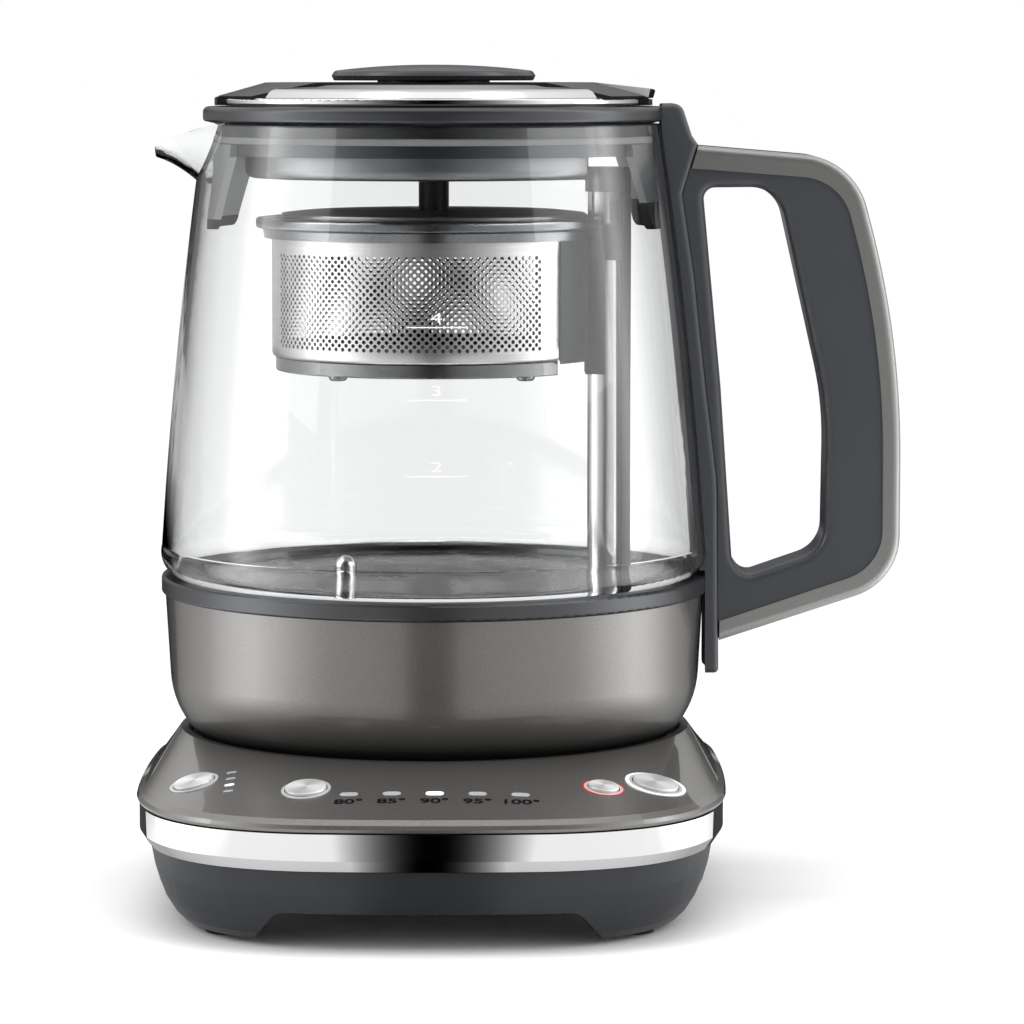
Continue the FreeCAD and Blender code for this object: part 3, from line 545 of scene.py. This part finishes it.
# ----------------------------------------------------------------- operators
class TEAMAKER_OT_finishes(bpy.types.Operator):
    """Give every solid of the tea maker its finish"""

    bl_idname = "teamaker.finishes"
    bl_label = "Finishes"

    def execute(self, context):
        tone = context.scene.teamaker_colours
        # painted light: the top shell gets a lighter copy of the bowl's paint, standing in for the light
        # the panel catches
        finish_nodes(metallic_paint("lit warm grey paint", shade(tone.paint, 1.3), 0.36), "base_top_shell")
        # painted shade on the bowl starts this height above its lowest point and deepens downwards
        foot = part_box("housing_shell")[0].z + BOWL_PAINTED_SHADE_TOP
        finish_nodes(metallic_paint("bowl paint with painted shade", tone.paint, 0.36, foot), "housing_shell")
        finish_nodes(metallic_paint("handle metal", (0.335, 0.342, 0.33), 0.4), "handle_trim")
        finish_nodes(satin_metallic("graphite", tone.collar, 0.32), "top_collar", "shoulder_ring")
        finish_nodes(satin_metallic("dark lacquer", shade(tone.collar, 0.3), 0.34, 0.4), "lid_bridge")
        finish_nodes(satin_metallic("titanium", tone.trim, 0.33),
                     "lid_skirt", "column_cap", "basket_lid", "handle_tongue")
        # painted shade: the basket's rims get a darker copy of the titanium, standing in for the darker
        # light on them
        finish_nodes(satin_metallic("shaded rim titanium", shade(tone.trim, 0.85), 0.22, 0.97),
                     "basket_rim", "basket_foot_rim")
        finish_nodes(satin_metallic("pale titanium", shade(tone.trim, 1.5), 0.33), "spout_tongue")
        finish_nodes(satin_metallic("silver lacquer", (0.66, 0.66, 0.66), 0.3, 0.35),
                     "lid_tab", "button_bezels")
        finish_nodes(satin_metallic("knob finish", shade(tone.collar, 0.72), 0.28, 0.6), "lid_knob")
        finish_nodes(satin_plastic("inner plastic", shade(tone.grip, 0.5), 0.42),
                     "column_rail", "basket_bracket", "basket_post")
        finish_nodes(satin_plastic("grip plastic", tone.grip, 0.3, 1400), "handle_spine", "handle_grip")
        finish_nodes(satin_plastic("tub plastic", tone.tub, 0.36), "base_lower_tub")
        finish_nodes(satin_plastic("hidden plastic", shade(tone.tub, 0.35), 0.5), "jug_bottom_cover")
        finish_nodes(satin_plastic("motor plastic", (0.5, 0.48, 0.44), 0.5),
                     "lift_motor", "power_components")
        finish_nodes(gloss_plastic("gloss black", (0.012, 0.012, 0.013)), "connector_plug",
                     "connector_socket", "lid_tab_tip", "panel_switches", "sounder")
        finish_nodes(gloss_plastic("board green", (0.02, 0.12, 0.05)), "control_board", "power_board")
        finish_nodes(plain_rubber("black rubber", (0.015, 0.015, 0.016)),
                     "rubber_feet", "cord_inlet_bush", "tongue_boots")
        finish_nodes(plain_rubber("carrier black", (0.006, 0.006, 0.006)), "base_band_carrier")
        finish_nodes(plain_rubber("grey silicone", (0.35, 0.35, 0.35)),
                     "top_seal", "bottom_seal", "lid_seal")
        finish_nodes(polished_steel("polished trim", (0.94, 0.94, 0.94)),
                     "base_trim_band", "lid_plate", "magnet_carriage", "basket_magnets")
        finish_nodes(polished_steel("brass", (0.75, 0.56, 0.25)), "connector_pin")
        finish_nodes(drawn_steel("column steel", tone.steel, (8, 8, 0.4), 0.2),
                     "column_tube", "lift_screw", "temperature_sensor")
        finish_nodes(drawn_steel("plate steel", tone.steel, (1, 1, 1)),
                     "heating_plate", "heating_element", "base_screws")
        finish_nodes(clear_glass("jug glass"), "glass_jug")
        finish_nodes(glowing_lens("red ring", (0.62, 0.012, 0.012), 0.22), "warm_halo")
        finish_nodes(glowing_lens("white ring", (0.9, 0.9, 0.9), 0.25), "start_halo")
        for row, axis, lit_share, reach in LAMP_ROWS:
            low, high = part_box(row)
            first = low[axis] + reach * 0.85
            last = high[axis] - reach * 0.85
            lit_at = first + (last - first) * lit_share
            finish_nodes(lamp_row(row + " glass", (0.86, 0.86, 0.88), axis, lit_at, reach), row)
        for joint in frame["joints"]:
            if not joint["name"].endswith("_press"):
                continue
            node = joint["name"].replace("_press", "_button")
            low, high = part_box(node)
            normal = [-value for value in joint["axis"]]
            steel = spun_steel(node + " steel", (0.84, 0.84, 0.83), tuple((low + high) / 2), normal)
            finish_nodes(steel, node)
        return {"FINISHED"}


class TEAMAKER_OT_basket_wall(bpy.types.Operator):
    """Basket wall of thin steel with staggered rows of round holes"""

    bl_idname = "teamaker.basket_wall"
    bl_label = "Basket wall"

    def tile(self, half, step, hole):
        """One diamond of the pattern in the XZ plane, with a round hole or closed."""
        holed = hole < half
        nothing_selected()
        bpy.ops.mesh.primitive_circle_add(
            vertices=12, radius=hole, fill_type="NOTHING" if holed else "NGON")
        piece = bpy.context.object
        start_editing("EDGE")
        bpy.ops.mesh.select_all(action="SELECT")
        if holed:
            bpy.ops.mesh.extrude_edges_move()
            bpy.ops.transform.resize(value=(half / hole,) * 3, center_override=(0, 0, 0))
        corner_pull = 1 / (cos(pi / 6) + sin(pi / 6))

        def off_corner(vert):
            return vert.co.length > half * 0.99 and abs(vert.co.x * vert.co.y) > half * half * 0.1

        choose("VERT", off_corner)
        bpy.ops.transform.resize(value=(corner_pull,) * 3, center_override=(0, 0, 0))
        choose("VERT", lambda vert: abs(vert.co.x) + abs(vert.co.y) > half * 0.99)
        bpy.ops.transform.resize(value=(1, step / half, 1), center_override=(0, 0, 0))
        bpy.ops.mesh.select_all(action="SELECT")
        bpy.ops.transform.rotate(value=-pi / 2, orient_axis="X", center_override=(0, 0, 0))
        bpy.ops.object.mode_set(mode="OBJECT")
        return piece

    def column(self, piece, radius, turn, top, step, pairs):
        """Stack the tile downwards, then add the next stack half a pitch on and one row down."""
        piece.location = (0, -radius * cos(turn / 2), top - step)
        take(piece)
        bpy.ops.object.transform_apply()
        rows = piece.modifiers.new("rows", "ARRAY")
        rows.use_relative_offset = False
        rows.use_constant_offset = True
        rows.constant_offset_displace = (0, 0, -2 * step)
        rows.count = pairs
        bpy.ops.object.modifier_apply(modifier=rows.name)
        bpy.ops.object.duplicate()
        second = bpy.context.object
        second.data.transform(Matrix.Translation((0, 0, -step)))
        second.data.transform(Matrix.Rotation(turn / 2, 4, "Z"))
        piece.select_set(True)
        bpy.context.view_layer.objects.active = piece
        bpy.ops.object.join()
        return piece

    def execute(self, context):
        sizes = context.scene.teamaker_sizes
        low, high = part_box("basket_drum")
        radius = -low.x - WALL_INSET
        flat = high.x - WALL_INSET
        count = 2 * round(pi * radius / sizes.hole_pitch)
        turn = 2 * pi / count
        half = radius * sin(turn / 2)
        step = sizes.hole_row_step
        pairs = sizes.hole_rows // 2
        top = high.z - sizes.hole_margin

        plain_left = 2 * round(sizes.plain_left / turn / 2)
        holed = round((radians(90) - sizes.plain_left / 2 + sizes.holes_end) / turn)
        plain_right = count - plain_left - 2 * holed
        sectors = []
        begun = -pi / 2 - (plain_left - 1) / 2 * turn
        for tiles, hole in ((plain_left, False), (holed, True), (plain_right, False), (holed, True)):
            size = sizes.hole_size / 2 if hole else half
            sector = self.column(self.tile(half, step, size), radius, turn, top, step, pairs)
            sector.data.transform(Matrix.Rotation(begun, 4, "Z"))
            start_editing()
            bpy.ops.mesh.select_all(action="SELECT")
            bpy.ops.mesh.spin(steps=tiles - 1, dupli=True, angle=-turn * (tiles - 1),
                              center=(0, 0, 0), axis=(0, 0, 1))
            bpy.ops.object.mode_set(mode="OBJECT")
            sectors.append(sector)
            begun += tiles * turn
        nothing_selected()
        for sector in sectors:
            sector.select_set(True)
        wall = sectors[0]
        context.view_layer.objects.active = wall
        bpy.ops.object.join()
        start_editing()
        bpy.ops.mesh.select_all(action="SELECT")
        bpy.ops.mesh.remove_doubles(threshold=0.00003)

        # plain steel above and below the holes
        bottom = top - (2 * pairs + 1) * step
        for limit, goal in ((top, high.z - WALL_TOP_GAP), (bottom, low.z + WALL_FOOT)):
            choose("EDGE", lambda edge: len(edge.link_faces) == 1 and
                   edge.calc_length() > sizes.hole_size * 0.3 and
                   all(abs(vert.co.z - limit) < step * 1.05 for vert in edge.verts))
            bpy.ops.mesh.extrude_edges_move()
            bpy.ops.transform.resize(value=(1, 1, 0), center_override=(0, 0, goal))

        # flat side, rounded foot and floor
        choose("VERT", lambda vert: vert.co.x > flat)
        bpy.ops.transform.resize(value=(0, 1, 1), center_override=(flat, 0, 0))
        rim = low.z + WALL_FOOT
        for shrink, drop in ((0.992, -0.0007), (0.978, -0.0004), (0.2, 0)):
            choose("EDGE", lambda edge: len(edge.link_faces) == 1 and
                   max(vert.co.z for vert in edge.verts) < rim + 0.0001)
            bpy.ops.mesh.extrude_edges_move()
            bpy.ops.transform.resize(value=(shrink, shrink, 1), center_override=(0, 0, 0))
            bpy.ops.transform.translate(value=(0, 0, drop))
            rim += drop
        bpy.ops.mesh.extrude_edges_move()
        bpy.ops.mesh.merge(type="CENTER")
        seal_mesh()
        tone = context.scene.teamaker_colours
        # painted shade: the basket wall's inner side gets a fifth of the steel's brightness
        steel = drawn_steel("basket steel", tone.steel, (0.5, 0.5, 30), 0.34, 0.2)
        settle(wall, "basket_wall", steel, "basket", 50)
        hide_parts("basket_drum")
        return {"FINISHED"}


class TEAMAKER_OT_cup_marks(bpy.types.Operator):
    """Cup numbers with a line under each on the front of the glass"""

    bl_idname = "teamaker.cup_marks"
    bl_label = "Cup marks"

    def execute(self, context):
        height = context.scene.teamaker_sizes.mark_height
        white = ink("white print", context.scene.teamaker_colours.print_white)
        pieces = []
        for number, level in CUP_LEVELS:
            digit = flat_number(number, height, CUP_LINE[1], 1.75, 0)
            digit.rotation_euler = (pi / 2, 0, 0)
            digit.location = (CUP_MARK_X, CUP_MARK_Y, level + CUP_NUMBER_RISE)
            pieces.append(digit)
            nothing_selected()
            bpy.ops.mesh.primitive_cube_add(
                size=1, location=(CUP_MARK_X, CUP_MARK_Y, level), scale=CUP_LINE)
            line = context.object
            start_editing("EDGE")
            bpy.ops.mesh.select_all(action="SELECT")
            bpy.ops.mesh.subdivide(number_cuts=23)
            bpy.ops.object.mode_set(mode="OBJECT")
            pieces.append(line)
        glass = nodes["glass_jug"]
        for index, piece in enumerate(pieces):
            take(piece)
            bpy.ops.object.transform_apply()
            for vert in piece.data.vertices:
                spot = meet(glass, (vert.co.x, -0.2, vert.co.z), (0, 1, 0))
                vert.co.y = spot.y - CUP_MARK_GAP - (CUP_MARK_Y - vert.co.y) * 0.5
            settle(piece, "cup_mark_" + str(index + 1), white, "jug")
        return {"FINISHED"}


class TEAMAKER_OT_panel_numbers(bpy.types.Operator):
    """Temperature numbers under the five lamps of the panel"""

    bl_idname = "teamaker.panel_numbers"
    bl_label = "Panel numbers"

    def execute(self, context):
        height = context.scene.teamaker_sizes.panel_number_height
        black = ink("dark print", context.scene.teamaker_colours.print_black)
        shell = nodes["base_top_shell"]
        low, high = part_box("temperature_lenses")
        middle = (low.x + high.x) / 2
        pitch = (high.x - low.x - LENS_WIDTH) / 4
        for index, number in enumerate(("80", "85", "90", "95", "100")):
            digit = flat_number(number + "°", height, PANEL_NUMBER_THICKNESS, 1.45, 0.03)
            digit.location = (middle + (index - 2) * pitch, low.y - PANEL_NUMBER_DROP, PANEL_NUMBER_GAP)
            bpy.ops.object.transform_apply()
            for vert in digit.data.vertices:
                vert.co.z += meet(shell, (vert.co.x, vert.co.y, 0.1), (0, 0, -1)).z
            settle(digit, "panel_number_" + number, black, "base")
        return {"FINISHED"}


class TEAMAKER_OT_stage(bpy.types.Operator):
    """Pale floor, soft lamps and the camera"""

    bl_idname = "teamaker.stage"
    bl_label = "Stage"

    def lamp(self, name, place, aim, size, power):
        """Soft rectangular lamp that no gloss mirrors."""
        nothing_selected()
        bpy.ops.object.light_add(type="AREA", location=place)
        light = bpy.context.object
        light.name = name
        light.data.shape = "RECTANGLE"
        light.data.size, light.data.size_y = size
        light.data.energy = power
        light.visible_glossy = False
        light.rotation_euler = (Vector(aim) - Vector(place)).to_track_quat("-Z", "Y").to_euler()

    def floor(self):
        """Pale floor that turns white to the eye and keeps the shadow."""
        nothing_selected()
        bpy.ops.mesh.primitive_plane_add(size=12, location=(0, 0, -0.0002))
        floor = bpy.context.object
        floor.name = "floor"
        start_editing("EDGE")
        bpy.ops.mesh.select_all(action="SELECT")
        bpy.ops.mesh.subdivide(number_cuts=3)
        bpy.ops.object.mode_set(mode="OBJECT")
        stone = Finish("pale floor", Roughness=0.9, Specular_IOR_Level=0.1)
        grain = stone.noise(40, 2)
        stone.feed(Base_Color=stone.blend(grain, (0.91, 0.91, 0.91), (0.93, 0.93, 0.93)))
        seen, mirrored, _, kept = stone.rays()
        x, y = stone.split(stone.place())[:2]
        away = (x * x + y * y) ** 0.5
        turn = stone.turn_from_front(x, y)

        # zones by distance from the middle, each a share from 0 to 1
        near = ((0.25 - away) * 11.0).clamp()
        far = ((away - 0.4) * 2.5).clamp()
        distant = (away - 1.2).clamp()

        # what mirrors meet: a dark gap in front that differs by zone, and a bright box at each side
        near_gap = (turn / 0.0195).at_most(0.93) ** 1.7 + turn * 0.15
        far_gap = (turn / 0.07).at_most(1.0) * 0.25 + turn.at_most(0.8) * 0.94
        distant_gap = (turn / 0.08).at_most(1.0) ** 0.6
        gap = near_gap * (1 - far) + far * (far_gap * (1 - distant) + distant_gap * distant)
        middle = (x > 0) * 0.21 + 0.75
        reach = ((away - 0.15) * 10.0).clamp() * (1 - distant * 0.7)
        side_box = (1 - abs(turn - middle) * 2.0).at_least(0.0) * reach * 2.0

        # darker behind, and a painted shade close to the foot of the object, which mirrors meet
        back = 1 - ((turn - 1.1) * 1.3).at_least(0.0) - ((turn - 1.74) * 4.0).at_least(0.0)
        back = back.at_least(distant * 0.5)
        # painted shade: the floor's glow for mirrors drops to 0.4 close to the object's foot
        clear = ((away - 0.08) * 20.0).at_most(1.0).at_least(0.4)

        strength = seen * 1.06 + mirrored * kept * (gap + side_box) * back * clear
        glow = stone.node("ShaderNodeEmission", {}, {"Color": (1, 1, 1, 1), "Strength": strength})
        share = seen * (0.95 - near * 0.95) + mirrored
        plain = Wire(stone, stone.shader.outputs[0])
        mixed = stone.node("ShaderNodeMixShader", {}, {0: share, 1: plain, 2: glow})
        stone.lead(mixed, stone.tree.nodes["Material Output"].inputs["Surface"])
        floor.data.materials.append(stone.material)

    def surroundings(self):
        """White to the eye; gloss meets a dark gap in front, soft boxes at the sides and flags behind."""
        world = bpy.data.worlds.new("studio")
        bpy.context.scene.world = world
        world.use_nodes = True
        maker = NodeMaker(world.node_tree)
        x, y, z = maker.split(maker.node("ShaderNodeTexCoord", {}, {}).get("Generated"))
        seen, mirrored, dull, kept = maker.rays()
        turn = maker.turn_from_front(x, y)
        overhead = ((z - 0.8) * 6.0).at_least(0.0)
        gap = (turn * 1.733 + overhead).at_most(1.0) ** 1.25
        middle = (x > 0) * 0.15 + 0.95
        side_box = (1 - abs(turn - middle) * 4.0).at_least(0.0) * 2.6
        low = (1.5 - z * 3.2).at_most(1.0).at_least(0.35)
        back = ((turn - 1.12) * 1.12).at_least(0.0)
        strength = seen + mirrored * kept * (gap + side_box) * (1 - back * low) + dull * 0.45
        sky = world.node_tree.nodes["Background"]
        sky.inputs["Color"].default_value = (1, 1, 1, 1)
        maker.lead(strength, sky.inputs["Strength"])

    def execute(self, context):
        self.floor()
        self.surroundings()
        self.lamp("left box", (-1.2, -0.45, 0.9), (0, 0, 0.12), (1.1, 1.5), 11)
        self.lamp("right box", (1.2, -0.45, 0.9), (0, 0, 0.12), (1.1, 1.5), 11)
        self.lamp("top box", (0.0, 0.0, 1.6), (0, 0, 0.1), (1.6, 1.2), 24)

        nothing_selected()
        bpy.ops.object.camera_add(location=CAMERA_PLACE, rotation=CAMERA_TURN)
        camera = context.object
        camera.data.sensor_width = 36
        camera.data.lens = CAMERA_LENS
        camera.data.clip_start = 0.01
        context.scene.camera = camera
        context.scene.view_settings.view_transform = "Standard"
        return {"FINISHED"}


class TEAMAKER_PT_pieces(bpy.types.Panel):
    """Buttons for the tea maker's pieces"""

    bl_label = "Tea maker"
    bl_idname = "TEAMAKER_PT_pieces"
    bl_space_type = "VIEW_3D"
    bl_region_type = "UI"
    bl_category = "Tea maker"

    def draw(self, context):
        layout = self.layout
        for group in (context.scene.teamaker_colours, context.scene.teamaker_sizes):
            for name in group.__annotations__:
                layout.prop(group, name)
        for operator in OPERATORS:
            layout.operator(operator.bl_idname)


OPERATORS = (
    TEAMAKER_OT_finishes,
    TEAMAKER_OT_basket_wall,
    TEAMAKER_OT_cup_marks,
    TEAMAKER_OT_panel_numbers,
    TEAMAKER_OT_stage,
)
CLASSES = (TeaMakerColours, TeaMakerSizes) + OPERATORS + (TEAMAKER_PT_pieces,)


def register():
    for cls in CLASSES:
        bpy.utils.register_class(cls)
    bpy.types.Scene.teamaker_colours = bpy.props.PointerProperty(type=TeaMakerColours)
    bpy.types.Scene.teamaker_sizes = bpy.props.PointerProperty(type=TeaMakerSizes)


def unregister():
    del bpy.types.Scene.teamaker_sizes
    del bpy.types.Scene.teamaker_colours
    for cls in reversed(CLASSES):
        bpy.utils.unregister_class(cls)


def main():
    register()
    bpy.ops.teamaker.finishes()
    bpy.ops.teamaker.basket_wall()
    bpy.ops.teamaker.cup_marks()
    bpy.ops.teamaker.panel_numbers()
    bpy.ops.teamaker.stage()


if __name__ == "__main__":
    main()
